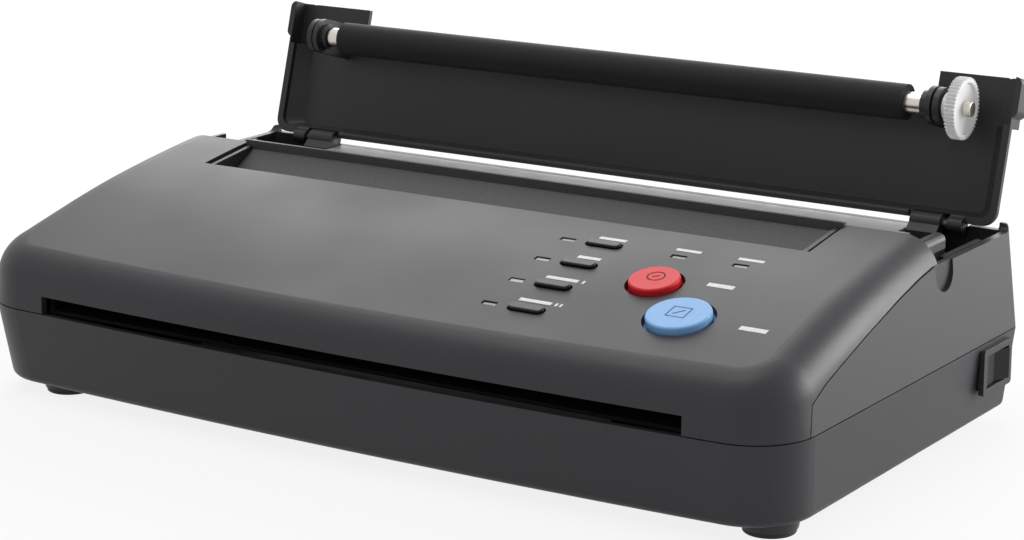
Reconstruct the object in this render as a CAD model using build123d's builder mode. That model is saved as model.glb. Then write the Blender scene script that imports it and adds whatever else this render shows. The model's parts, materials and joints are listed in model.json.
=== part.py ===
import math
import os

from build123d import *

os.makedirs("parts", exist_ok=True)

# Thermal stencil copier. Design frame in mm: X to the right, Y to the back, Z up.
# X = 0 is the middle, Y = 0 the front parting corner, Z = 0 the line between the housings.
# At export every piece is moved so that the row's origin is under the middle of the object.

# housings
BODY_W = 300.0
BODY_D = 158.5
BOW = 4.35  # how far the front bulges at its middle
FRONT_R = 20.0
REAR_R = 2.5
FLOOR_Z = -25.7
FOOT_H = 1.6
FOOT_R = 7.8
FOOT_SWELL = 2.4  # the floor swells down over each foot
WALL = 2.5
TOP_ROUND = 12.0
BOTTOM_ROUND = 2.5
SIDE_DRAFT = 0.1
REAR_DRAFT = 0.045
LOW_REAR_DRAFT = 0.14
LINE_GAP = 0.35  # shadow line between the housings
LINE_DEPTH = 1.2
TOP = [(-8, 15.4), (0, 17.6), (27, 24.8), (52.7, 31.2), (79.5, 36.2), (105, 39.7), (135, 41.4)]
SEAM = [(16.4, -1), (16.6, 0.2), (18.6, 9.1), (27.1, 12.8), (39.3, 16.5), (55.8, 21.2)]
SEAM += [(76.1, 26.4), (90.1, 29.4), (100, 31)]
SEAM_GAP = 0.35
COVER_END = 103.2
TONGUE_END = 118.5
WALL_TOP = 31.0
POST_TOP = 33.5
DECK_Z = 29.5
SLOT_X = 118.8
SLOT_H = 6.1

# hinge and lid; the lid's own frame has u along the lid and w towards its inner side
HINGE_Y = 152.5
HINGE_Z = 31.5
LID_LEAN = 16.4  # degrees back from upright when open
LID_TRAVEL = 90 + LID_LEAN
LID_X = 142.9
LID_BACK = -8.2
LID_INNER = -6.4
LID_EDGE = 1.0
LID_MID = 37.0
LID_EAR = 48.9
EAR_X = 113.5
EAR_LIP_X = 144.5
EAR_LIP_U = 36.0
EAR_ROUND = 2.2
LID_CHAMFER = 6.4
LID_CORNER = 5.0
HINGE_R = 3.1
PIN_R = 1.3
RUN = 0.05  # radial running clearance
BARREL_X = (115.0, 125.5)
LUG_X = (127.6, 132.7)
LUG_R = 2.6

# platen roller, in the lid's frame
PLATEN_U = 36.4
PLATEN_W = 9.2
PLATEN_R = 5.8
PLATEN_X = 111.0
SHAFT_R = 3.0
BUSH_X = (117.0, 122.0)
BUSH_R = 4.5
BUSH_FLANGE_R = 6.0
RIB_X = (119.5, 121.3)
GEAR_X = 127.9
GEAR_W = 3.4
GEAR_WEB = 2.6  # behind the dish in the platen gear's face
GEAR_RIM = 0.8
MODULE = 0.4
PLATEN_TEETH = 48
DRIVE_TEETH = 44
COMPOUND_SMALL = 20
COMPOUND_LARGE = 60
MOTOR_TEETH = 20
BACKLASH = 0.12
STUD_R = 1.5

# controls, in a plane that leans with the cover
CTRL_Y = 41.0
CTRL_Z = 28.5
CTRL_LEAN = 13.63
PRESS = 0.7
BOARD_DEPTH = 7.3
BOARD_T = 1.2
MODE_X = 54.0
MODE_Y = [62.7, 48.2, 33.8, 19.0]
LAMP_DX = -13.0
ROUND_BUTTONS = {"copy_button": (100.8, 27.7, 9.85), "stop_button": (82.9, 44.3, 7.9)}
STATE_LAMPS = [(80.5, 62.3), (101.6, 62.5)]
ROUND_GAP = 1.2

# document path
TRAY_X = 116.0
TRAY_Y = (79.0, 101.7)
TRAY_Z = 37.56
TRAY_SLOPE = 0.55
TRAY_END = 61.0
TRAY_T = 1.5
RACK_MODULE = 0.8
GUIDE_TEETH = 16
GUIDE_TRAVEL = 40.0
FEED_Y = 47.0
FEED_Z = 14.5
FEED_R = 5.5
FEED_TEETH = 50
IDLER_TEETH = 30
SENSOR_TOP = 8.7

LID_A = math.radians(90 - LID_LEAN)
LID_U = (0, math.cos(LID_A), math.sin(LID_A))
LID_PLANE = Plane((0, HINGE_Y, HINGE_Z), x_dir=(1, 0, 0), z_dir=(0, -LID_U[2], LID_U[1]))
CTRL_A = math.radians(CTRL_LEAN)
CTRL = Plane((0, CTRL_Y, CTRL_Z), x_dir=(1, 0, 0), z_dir=(0, -math.sin(CTRL_A), math.cos(CTRL_A)))
TRAY_A = math.atan(TRAY_SLOPE)
RACK_Y = 91.0
TRAY = Plane(
    (0, RACK_Y, TRAY_Z - TRAY_SLOPE * (TRAY_Y[1] - RACK_Y)),
    x_dir=(1, 0, 0),
    z_dir=(0, -math.sin(TRAY_A), math.cos(TRAY_A)),
)
Y_MIDDLE = (HINGE_Y + LID_EAR * LID_U[1] - LID_BACK * LID_U[2] - BOW) / 2
FOOT_Z = FLOOR_Z - FOOT_SWELL - FOOT_H


def block(xs, ys, zs, mode=Mode.ADD):
    with Locations(((xs[0] + xs[1]) / 2, (ys[0] + ys[1]) / 2, (zs[0] + zs[1]) / 2)):
        Box(xs[1] - xs[0], ys[1] - ys[0], zs[1] - zs[0], mode=mode)


def block_on(plane, xs, ys, zs, mode=Mode.ADD):
    with BuildSketch(plane.offset(zs[0])) as area:
        with Locations(((xs[0] + xs[1]) / 2, (ys[0] + ys[1]) / 2)):
            Rectangle(xs[1] - xs[0], ys[1] - ys[0])
    extrude(area.sketch, amount=zs[1] - zs[0], mode=mode)


def disc_on(plane, r, x, y, zs, mode=Mode.ADD):
    with BuildSketch(plane.offset(zs[0])) as area:
        with Locations((x, y)):
            Circle(r)
    extrude(area.sketch, amount=zs[1] - zs[0], mode=mode)


def rod(r, xs, y, z, mode=Mode.ADD):
    disc_on(Plane.YZ, r, y, z, xs, mode)


def prism(points, xs, mode=Mode.ADD, plane=Plane.YZ):
    with BuildSketch(plane.offset(xs[0])) as area:
        with BuildLine():
            Polyline(*points, close=True)
        make_face()
    extrude(area.sketch, amount=xs[1] - xs[0], mode=mode)


def mirrored(side, xs):
    return tuple(sorted((side * xs[0], side * xs[1])))


def on_lid(u, w):
    """The design-frame Y and Z of a point given along the lid and inwards."""
    return (
        HINGE_Y + u * LID_U[1] - w * LID_U[2],
        HINGE_Z + u * LID_U[2] + w * LID_U[1],
    )


LID_SECTION = Plane((0, HINGE_Y, HINGE_Z), x_dir=LID_U, z_dir=(1, 0, 0))


def outline(z, side, front, rear, inset=0.0, depth=BODY_D, rear_r=0.0):
    """The body's plan at a height: bowed front, round front corners."""
    x = BODY_W / 2 - side - inset
    near = front + inset
    far = depth - rear - inset
    with BuildSketch(Plane.XY.offset(z)) as plan:
        with BuildLine():
            ThreePointArc((-x, near), (0, near - BOW), (x, near))
            Polyline((x, near), (x, far), (-x, far), (-x, near))
        make_face()
        fillet(plan.vertices().sort_by(Axis.Y)[:2], FRONT_R - inset)
        if rear_r:
            fillet(plan.vertices().sort_by(Axis.Y)[-2:], max(rear_r - inset, 1))
    return plan.sketch


def upper_sections(inset, z0, z1, depth=BODY_D, rear_r=0.0, lean=REAR_DRAFT):
    return [
        outline(z, SIDE_DRAFT * z, 0.02 * z, lean * z, inset, depth, rear_r) for z in (z0, z1)
    ]


def cover_block(inset):
    """The closed upper body: leaning sides, curved top, rounded edges."""
    with BuildPart() as solid:
        loft(sections=upper_sections(inset, -2.0, 50.0, depth=125.0, lean=0), ruled=True)
        with BuildSketch(Plane.YZ) as side:
            with BuildLine():
                points = [(y, z - inset) for y, z in TOP]
                Spline(*points)
                Polyline(points[0], (points[0][0], -2), (points[-1][0], -2), points[-1])
            make_face()
        extrude(amount=160, both=True, mode=Mode.INTERSECT)
        roof = solid.faces().filter_by(lambda f: f.normal_at().Z > 0.8).sort_by(Axis.Z)[-1]
        fillet([e for e in roof.edges() if e.center().Y < 120], TOP_ROUND - inset)
    return solid.part


def lower_sections(inset, z0, z1):
    return [
        outline(z, -0.082 * z, -0.163 * z, -LOW_REAR_DRAFT * z, inset, rear_r=REAR_R)
        for z in (z0, z1)
    ]


def tooth_points(module, teeth, phase, backlash=BACKLASH):
    """An involute spur gear's outline, one tooth centred at the phase angle in degrees."""
    pitch_r = module * teeth / 2
    base_r = pitch_r * math.cos(math.radians(20))
    root_r = pitch_r - 1.25 * module
    tip_r = pitch_r + 0.95 * module
    half = math.pi / (2 * teeth) - backlash / (2 * pitch_r)
    lean = math.tan(math.radians(20)) - math.radians(20)
    start_r = max(base_r, root_r)
    flank = []
    for i in range(4):
        r = start_r + (tip_r - start_r) * i / 3
        turn = math.acos(min(1, base_r / r))
        flank.append((r, half + lean - (math.tan(turn) - turn)))
    if root_r < base_r:
        flank.insert(0, (root_r, flank[0][1]))
    points = []
    for k in range(teeth):
        middle = math.radians(phase) + 2 * math.pi * k / teeth
        for r, a in [(r, -a) for r, a in flank] + flank[::-1]:
            points.append((r * math.cos(middle + a), r * math.sin(middle + a)))
    return points


def gear(module, teeth, phase, xs, y, z, plane=Plane.YZ):
    outer = [(y + a, z + b) for a, b in tooth_points(module, teeth, phase)]
    prism(outer, xs, plane=plane)


def next_phase(phase, teeth, other, direction):
    """The phase of a gear in mesh with one at the given phase, lying at the direction angle."""
    return direction + 180 + (direction - phase) * teeth / other + 180 / other


# ---- gear places: the print train meets the platen's gear when the lid is shut ----
SHUT_PLATEN = (HINGE_Y - PLATEN_U, HINGE_Z - PLATEN_W)
PLATEN_PHASE = 0.0
DRIVE_DIR = -6.0
COMPOUND_DIR = -120.0
MOTOR_DIR = -100.0


def step(place, teeth, direction):
    reach = MODULE * teeth / 2
    a = math.radians(direction)
    return (place[0] + reach * math.cos(a), place[1] + reach * math.sin(a))


DRIVE_AT = step(SHUT_PLATEN, PLATEN_TEETH + DRIVE_TEETH, DRIVE_DIR)
COMPOUND_AT = step(DRIVE_AT, DRIVE_TEETH + COMPOUND_SMALL, COMPOUND_DIR)
MOTOR_AT = step(COMPOUND_AT, COMPOUND_LARGE + MOTOR_TEETH, MOTOR_DIR)
DRIVE_PHASE = next_phase(PLATEN_PHASE + LID_TRAVEL, PLATEN_TEETH, DRIVE_TEETH, DRIVE_DIR)
COMPOUND_PHASE = next_phase(DRIVE_PHASE, DRIVE_TEETH, COMPOUND_SMALL, COMPOUND_DIR)
MOTOR_PHASE = next_phase(COMPOUND_PHASE, COMPOUND_LARGE, MOTOR_TEETH, MOTOR_DIR)
LARGE_X = (132.3, 134.9)

FEED_AT = (FEED_Y, FEED_Z)
IDLER_DIR = -20.0
SCAN_DIR = -40.0
IDLER_AT = step(FEED_AT, FEED_TEETH + IDLER_TEETH, IDLER_DIR)
SCAN_AT = step(IDLER_AT, IDLER_TEETH + MOTOR_TEETH, SCAN_DIR)
IDLER_PHASE = next_phase(0, FEED_TEETH, IDLER_TEETH, IDLER_DIR)
SCAN_PHASE = next_phase(IDLER_PHASE, IDLER_TEETH, MOTOR_TEETH, SCAN_DIR)
SCAN_GEAR_X = (-128.6, -125.0)

built = {}

# ---- housings ----
BOSSES = [(-138, 30), (138, 30), (-140, 104), (140, 104), (-40, 146), (40, 146)]
FEET = [(-123, 15.5), (136.8, 18.0), (-129, 140), (129, 140)]
ROCKER_Y = (129.6, 150.6)
ROCKER_Z = (-16.2, -1.4)
INLET_X = (58.0, 86.0)
INLET_Z = (-20.0, -1.5)
INLET_DEPTH = 13.5

with BuildPart() as bottom_housing:
    loft(sections=lower_sections(0, FLOOR_Z, 0.0), ruled=True)
    fillet(bottom_housing.faces().sort_by(Axis.Z)[0].edges(), BOTTOM_ROUND)
    loft(sections=lower_sections(WALL, FLOOR_Z + WALL, 1.0), ruled=True, mode=Mode.SUBTRACT)
    for x, y in FEET:
        with Locations((x, y, FLOOR_Z - FOOT_SWELL / 2 + 0.5)):
            Cone(FOOT_R + 0.5, FOOT_R + 1.2, FOOT_SWELL + 1)
    for x, y in BOSSES:
        disc_on(Plane.XY, 4.0, x, y, (FLOOR_Z + 1, 0))
        disc_on(Plane.XY, 1.3, x, y, (FLOOR_Z + 3.5, 1), Mode.SUBTRACT)
        disc_on(Plane.XY, 1.9, x, y, (FLOOR_Z - 1, FLOOR_Z + 3.5), Mode.SUBTRACT)
        disc_on(Plane.XY, 3.4, x, y, (FLOOR_Z - 1, FLOOR_Z + 1.7), Mode.SUBTRACT)
    for row in range(2):
        for k in range(9):
            x0 = -100 + 14 * k
            block((x0, x0 + 9), (60 + 16 * row, 62.2 + 16 * row), (FLOOR_Z - 1, -15), Mode.SUBTRACT)
    for x in (-106, 106):
        for y in (100, 140):
            disc_on(Plane.XY, 3.5, x, y, (FLOOR_Z + 1, 4))
    for side in (-1, 1):
        block(mirrored(side, (114, 118)), (84, 94), (FLOOR_Z + 1, 0))
        block(mirrored(side, (98, 110)), (41, 53), (FLOOR_Z + 1, -7))
    block((-124.5, -119.5), (36, 76), (FLOOR_Z + 1, -12))
    block((118.3, 122.3), (36, 56), (FLOOR_Z + 1, -12))
    block((120.8, 126.4), (108, 142), (FLOOR_Z + 1, -17))
    for x in (-86, 44, 58, 96):
        for y in (88, 132) if x < 50 else (66, 108):
            disc_on(Plane.XY, 2.5, x, y, (FLOOR_Z + 1, -18))
    for side in (-1, 1):
        block(mirrored(side, (112, 118)), (15, 20), (FLOOR_Z + 1, 2.3))
    block((140, 160), (ROCKER_Y[0] + 1.2, ROCKER_Y[1] - 1.2),
          (ROCKER_Z[0] + 1.2, ROCKER_Z[1] - 1.2), Mode.SUBTRACT)
    block((INLET_X[0] - 4, INLET_X[1] + 4), (BODY_D - 5, BODY_D), (INLET_Z[0] - 2, 0))
    block(INLET_X, (BODY_D - 8, BODY_D + 1), INLET_Z, Mode.SUBTRACT)
built["bottom_housing"] = bottom_housing

REAR_IN = BODY_D - WALL  # the rear wall's inner face, before its draft
MID = SEAM + [(REAR_IN - 2.6, WALL_TOP), (REAR_IN - 1.2, 31.4), (REAR_IN - 0.4, 32.3)]
MID += [(REAR_IN - 0.2, POST_TOP), (BODY_D + 4, POST_TOP), (BODY_D + 4, -1)]
POST_X = LID_X + 0.4
POST_ROUND = 2.0
CORNER_X = 119.0  # from here outwards the rear wall rises behind the hinges
CORNER_TOP = 31.3
LUG_REAR = 155.7  # room for the lid's lugs in front of the rear wall
SCOOP_X = 146.2  # how deep the finger scoops go into the side walls
DECK_T = 1.2
DECK_X = 114.2
DECK_Y = (124.0, REAR_IN - 1.6)
LEDGE_Y = 146.5

with BuildPart() as mid_housing:
    loft(sections=upper_sections(0, 0, 50, rear_r=REAR_R), ruled=True)
    loft(sections=upper_sections(WALL, -2, 52, rear_r=REAR_R), ruled=True, mode=Mode.SUBTRACT)
    prism(MID, (-160, 160), Mode.INTERSECT)
    block((-CORNER_X, CORNER_X), (145, BODY_D + 4), (DECK_Z, 40), Mode.SUBTRACT)
    block((-LUG_X[1] - 0.5, LUG_X[1] + 0.5), (145, BODY_D + 4), (30.7, 40), Mode.SUBTRACT)
    block((-POST_X, POST_X), (145, BODY_D + 4), (CORNER_TOP, 40), Mode.SUBTRACT)
    for side in (-1, 1):
        block(mirrored(side, (BARREL_X[0] - 0.6, LUG_X[1] + 0.5)), (145, LUG_REAR), (27.7, 40),
              Mode.SUBTRACT)
        block(mirrored(side, (142.0, 145.9)), (114, 141), (20, 22))
        block(mirrored(side, (142.0, 143.6)), (114, 141), (20, WALL_TOP))
        rod(6.2, mirrored(side, (SCOOP_X, 160)), 107, 28.4, Mode.SUBTRACT)
        block(mirrored(side, (SCOOP_X, 160)), (100.8, 113.2), (28.4, 40), Mode.SUBTRACT)
        with BuildSketch(Plane.XZ.offset(5 - REAR_IN)) as corner:
            x = BODY_W / 2 - SIDE_DRAFT * POST_TOP
            with Locations((side * x, POST_TOP)):
                Rectangle(2 * POST_ROUND, 2 * POST_ROUND)
            with Locations((side * (x - POST_ROUND), POST_TOP - POST_ROUND)):
                Circle(POST_ROUND, mode=Mode.SUBTRACT)
        extrude(corner.sketch, amount=-12, mode=Mode.SUBTRACT)
    block((-DECK_X, DECK_X), (LEDGE_Y, REAR_IN), (DECK_Z - DECK_T - 1.6, DECK_Z - DECK_T))
    for x, y in BOSSES:
        if y > 100:
            disc_on(Plane.XY, 4.0, x, y, (0, 12))
            if abs(x) > 100:
                block(mirrored(math.copysign(1, x), (140, 147.8)), (y - 1.2, y + 1.2), (0, 12))
            else:
                block((x - 1.2, x + 1.2), (y, REAR_IN + 0.4), (0, 12))
            disc_on(Plane.XY, 1.3, x, y, (-1, 9), Mode.SUBTRACT)
    with BuildSketch(Plane.XY.offset(-1)) as ring:
        add(outline(-1, -2, -2, -2, rear_r=REAR_R))
        add(outline(-1, 0, 0, 0, inset=LINE_DEPTH, rear_r=REAR_R), mode=Mode.SUBTRACT)
    extrude(ring.sketch, amount=1 + LINE_GAP, mode=Mode.SUBTRACT)
built["mid_housing"] = mid_housing

COVER = [(y - SEAM_GAP, z + SEAM_GAP * 0.9) for y, z in SEAM[1:]]
COVER = [(COVER[0][0], -1)] + COVER + [(COVER_END, WALL_TOP + SEAM_GAP), (COVER_END, 60)]
COVER += [(-20, 60), (-20, -1)]
MODES = [(MODE_X, (y - CTRL_Y) / math.cos(CTRL_A)) for y in MODE_Y]
ROUNDS = {
    name: (x, (y - CTRL_Y) / math.cos(CTRL_A), r) for name, (x, y, r) in ROUND_BUTTONS.items()
}
LAMPS = [(x + LAMP_DX, y) for x, y in MODES]
LAMPS += [(x, (y - CTRL_Y) / math.cos(CTRL_A)) for x, y in STATE_LAMPS]
CTRL_POSTS = [(34.5, -21), (34.5, 27), (114.5, -21), (114.5, 27)]


def pill_on(plane, length, width, x, y, zs, mode=Mode.ADD):
    with BuildSketch(plane.offset(zs[0])) as area:
        with Locations((x, y)):
            SlotOverall(length, width)
    extrude(area.sketch, amount=zs[1] - zs[0], mode=mode)


with BuildPart() as front_cover:
    add(cover_block(0))
    add(cover_block(WALL), mode=Mode.SUBTRACT)
    prism(COVER, (-160, 160), Mode.INTERSECT)
    block((-160, 160), (-20, 160), (-5, 0), Mode.SUBTRACT)
    block((-TRAY_X, TRAY_X), (TRAY_Y[0], COVER_END + 1), (28, 60), Mode.SUBTRACT)
    block((-SLOT_X, SLOT_X), (-10, 12), (-1, SLOT_H), Mode.SUBTRACT)
    for side in (-1, 1):
        tongue = [(138.4, 32.6), (141.9, 32.6), (141.9, 35.2), (141.6, 36.2), (141.0, 36.8)]
        tongue += [(140.0, 37.2), (138.4, 37.2)]
        prism([(side * x, z) for x, z in tongue], (-TONGUE_END, 3 - COVER_END), plane=Plane.XZ)
    for x, y in BOSSES:
        if y < 100:
            disc_on(Plane.XY, 4.0, x, y, (0, 18.5))
            block(mirrored(math.copysign(1, x), (138, 146.5)), (y - 1.2, y + 1.2), (14.8, 18.5))
            disc_on(Plane.XY, 1.3, x, y, (-1, 9), Mode.SUBTRACT)
    for x, y in CTRL_POSTS:
        disc_on(CTRL, 2.5, x, y, (-BOARD_DEPTH, -1.6))
        disc_on(CTRL, 0.9, x, y, (-BOARD_DEPTH - 1, -3.5), Mode.SUBTRACT)
    for x, y in MODES:
        pill_on(CTRL, 13.0, 4.5, x, y, (-4, 4), Mode.SUBTRACT)
    for x, y in LAMPS:
        block_on(CTRL, (x - 2.6, x + 2.6), (y - 1.1, y + 1.1), (-4, 4), Mode.SUBTRACT)
    for x, y, r in ROUNDS.values():
        disc_on(CTRL, r + ROUND_GAP, x, y, (-4, 4), Mode.SUBTRACT)
    with BuildSketch(Plane.XY.offset(-1)) as ring:
        add(outline(-1, -2, -2, -2))
        add(outline(-1, 0, 0, 0, inset=LINE_DEPTH), mode=Mode.SUBTRACT)
    extrude(ring.sketch, amount=1 + LINE_GAP, mode=Mode.SUBTRACT)
built["front_cover"] = front_cover

# ---- document tray and guides ----


def tray_z(y):
    return TRAY_Z - TRAY_SLOPE * (TRAY_Y[1] - y)


TRAY_REAR = TRAY_Y[1] - 0.1
CHEEK_X = (115.7, 117.2)
GUIDE_X = (112.8, 114.4)
RACK_Z = (-3.9, -2.1)
GUIDE_R = RACK_MODULE * GUIDE_TEETH / 2

with BuildPart() as document_tray:
    for y0, y1, x in ((TRAY_END, 95, CHEEK_X[1]), (94, TRAY_REAR, TRAY_X - 0.2)):
        prism([(y1, tray_z(y1)), (y0, tray_z(y0)), (y0, tray_z(y0) - TRAY_T),
               (y1, tray_z(y1) - TRAY_T)], (-x, x))
    for side in (-1, 1):
        prism([(74, tray_z(74) - 0.8), (74, 32.2), (79, 33.2), (95, 35.4),
               (95, tray_z(95) - 0.8)], mirrored(side, CHEEK_X))
        block(mirrored(side, CHEEK_X), (84, 94), (0, tray_z(84) - 0.8))
        block_on(TRAY, mirrored(side, (70, 114.9)), (-1.2, 1.2), (-4, 2), Mode.SUBTRACT)
    block((0.2 - TRAY_X, TRAY_X - 0.2), (TRAY_REAR, COVER_END - 0.2), (36.4, 40.5))
    disc_on(TRAY, STUD_R, 0, 0, (RACK_Z[0] - 0.4, -1))
built["document_tray"] = document_tray


def rack_points(side, x_end):
    """A rack seen along the tray's normal, teeth towards the pinion at its middle."""
    pitch = math.pi * RACK_MODULE
    root = GUIDE_R + 1.25 * RACK_MODULE
    tip = GUIDE_R - 0.95 * RACK_MODULE
    slope = math.tan(math.radians(20))
    half = pitch / 4 - BACKLASH / 2
    at_root = half + (root - GUIDE_R) * slope
    at_tip = half - (GUIDE_R - tip) * slope
    count = 4
    points = [(GUIDE_X[0] * side, root + 2.4), (GUIDE_X[0] * side, root)]
    last = int(GUIDE_X[0] / pitch) - 1
    for k in range(last, -count - 1, -1):
        middle = (k + 0.5) * pitch
        for dx, y in ((at_root, root), (at_tip, tip), (-at_tip, tip), (-at_root, root)):
            points.append(((middle + dx) * side, y))
    points.append((-x_end * side, root))
    points.append((-x_end * side, root + 2.4))
    return [(x, side * y) for x, y in points]


for side, name in ((-1, "document_guide_left"), (1, "document_guide_right")):
    with BuildPart() as guide:
        prism([(80.2, tray_z(80.2) + 0.4), (101.2, tray_z(101.2) + 0.4), (101.2, 38.7),
               (80.2, 35.7)], mirrored(side, GUIDE_X))
        block_on(TRAY, mirrored(side, GUIDE_X), (-0.9, 0.9), (RACK_Z[0], 0.8))
        ys = mirrored(side, (-0.9, GUIDE_R + 3.3))
        block_on(TRAY, mirrored(side, GUIDE_X), ys, RACK_Z)
        prism(rack_points(side, 10.6), RACK_Z, plane=TRAY)
    built[name] = guide

with BuildPart() as guide_pinion:
    prism(tooth_points(RACK_MODULE, GUIDE_TEETH, 90), RACK_Z, plane=TRAY)
    disc_on(TRAY, STUD_R + RUN, 0, 0, (-5, 0), Mode.SUBTRACT)
built["guide_pinion"] = guide_pinion

# ---- controls ----


def drop(y):
    """How far the curved cover lies below the control plane."""
    return 0.0011 * y * y


CAP_UNDER = -3.95
for name, (x, y, r) in ROUNDS.items():
    with BuildPart() as button:
        disc_on(CTRL, r, x, y, (CAP_UNDER - drop(y), 1.7 - drop(y)))
        rim = button.faces().sort_by(lambda f: -f.center().Z)[0].edges()
        fillet(rim, 0.7)
        disc_on(CTRL, r + ROUND_GAP + 1.2, x, y, (CAP_UNDER - drop(y), CAP_UNDER + 1 - drop(y)))
    built[name] = button

for k, (x, y) in enumerate(MODES):
    with BuildPart() as pill:
        pill_on(CTRL, 12.0, 3.5, x, y, (CAP_UNDER - drop(y), 1.0 - drop(y)))
        rim = pill.faces().sort_by(lambda f: -f.center().Z)[0].edges()
        fillet(rim, 0.6)
        pill_on(CTRL, 15.6, 7.0, x, y, (CAP_UNDER - drop(y), CAP_UNDER + 1 - drop(y)))
    built[f"mode_button_{k + 1}"] = pill

PRESSED = [(x, y) for x, y, _ in ROUNDS.values()] + MODES
with BuildPart() as control_board:
    block_on(CTRL, (32, 117), (-24, 30), (-BOARD_DEPTH - BOARD_T, -BOARD_DEPTH))
    for x, y in CTRL_POSTS:
        disc_on(CTRL, 0.9, x, y, (-BOARD_DEPTH - 3, -3.5), Mode.SUBTRACT)
built["control_board"] = control_board

with BuildPart() as tact_switches:
    for x, y in PRESSED:
        block_on(CTRL, (x - 3, x + 3), (y - 3, y + 3), (-BOARD_DEPTH, -5.9))
        disc_on(CTRL, 1.6, x, y, (-5.9, -5.55))
built["tact_switches"] = tact_switches

with BuildPart() as board_lamps:
    for x, y in LAMPS:
        block_on(CTRL, (x - 1.4, x + 1.4), (y - 0.8, y + 0.8), (-BOARD_DEPTH, -6.5))
built["board_lamps"] = board_lamps

with BuildPart() as lamp_lenses:
    for x, y in LAMPS:
        block_on(CTRL, (x - 2.25, x + 2.25), (y - 0.85, y + 0.85), (-6.5, -0.4 - drop(y)))
built["lamp_lenses"] = lamp_lenses

with BuildPart() as control_screws:
    for x, y in CTRL_POSTS:
        disc_on(CTRL, 0.9, x, y, (-BOARD_DEPTH - BOARD_T, -3.9))
        disc_on(CTRL, 1.9, x, y, (-BOARD_DEPTH - BOARD_T - 1.3, -BOARD_DEPTH - BOARD_T))
built["control_screws"] = control_screws

# ---- feet and screws ----
with BuildPart() as rubber_feet:
    for x, y in FEET:
        disc_on(Plane.XY, FOOT_R, x, y, (FOOT_Z, FOOT_Z + FOOT_H))
    fillet(rubber_feet.faces().group_by(Axis.Z)[0].edges(), 0.6)
built["rubber_feet"] = rubber_feet

with BuildPart() as housing_screws:
    for x, y in BOSSES:
        disc_on(Plane.XY, 3.1, x, y, (FLOOR_Z + 0.2, FLOOR_Z + 1.7))
        disc_on(Plane.XY, 1.3, x, y, (FLOOR_Z + 1.7, 7))
        for w, d in ((4.2, 0.9), (0.9, 4.2)):
            block((x - w / 2, x + w / 2), (y - d / 2, y + d / 2),
                  (FLOOR_Z, FLOOR_Z + 1.0), Mode.SUBTRACT)
built["housing_screws"] = housing_screws

# ---- hinge ----
with BuildPart() as hinge_brackets:
    for side in (-1, 1):
        xs = mirrored(side, BARREL_X)
        rod(HINGE_R, xs, HINGE_Y, HINGE_Z)
        prism([(147, 12), (149.2, 12), (149.2, 27.9), (151.6, 28.4), (HINGE_Y, HINGE_Z),
               (149.4, HINGE_Z), (147, 29.4)], xs)
        block(xs, (147, REAR_IN - REAR_DRAFT * 19 - 0.05), (12, 19))
        rod(PIN_R, mirrored(side, (100, 140)), HINGE_Y, HINGE_Z, Mode.SUBTRACT)
built["hinge_brackets"] = hinge_brackets

with BuildPart() as hinge_pins:
    for side in (-1, 1):
        rod(PIN_R, mirrored(side, (BARREL_X[0], LUG_X[1] + 0.2)), HINGE_Y, HINGE_Z)
built["hinge_pins"] = hinge_pins

# ---- lid ----


def lid_outline(w, x, rear, corner):
    with BuildSketch(LID_PLANE.offset(w)) as plan:
        with BuildLine():
            Polyline((-x, rear), (x, rear), (x, LID_EAR), (-x, LID_EAR), close=True)
        make_face()
        fillet(plan.vertices().sort_by(LID_U_AXIS)[:2], corner)
        fillet(plan.vertices().sort_by(LID_U_AXIS)[-2:], EAR_ROUND - 0.9)
    return plan.sketch


LID_U_AXIS = Axis((0, 0, 0), LID_U)
SKIRT_W = -1.8
RIM = 2.4
REAR_SLOPE = 0.4  # of the chamfer, at the hinge edge
RIB_R = 6.2
BARREL_GAP = 0.4

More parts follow.
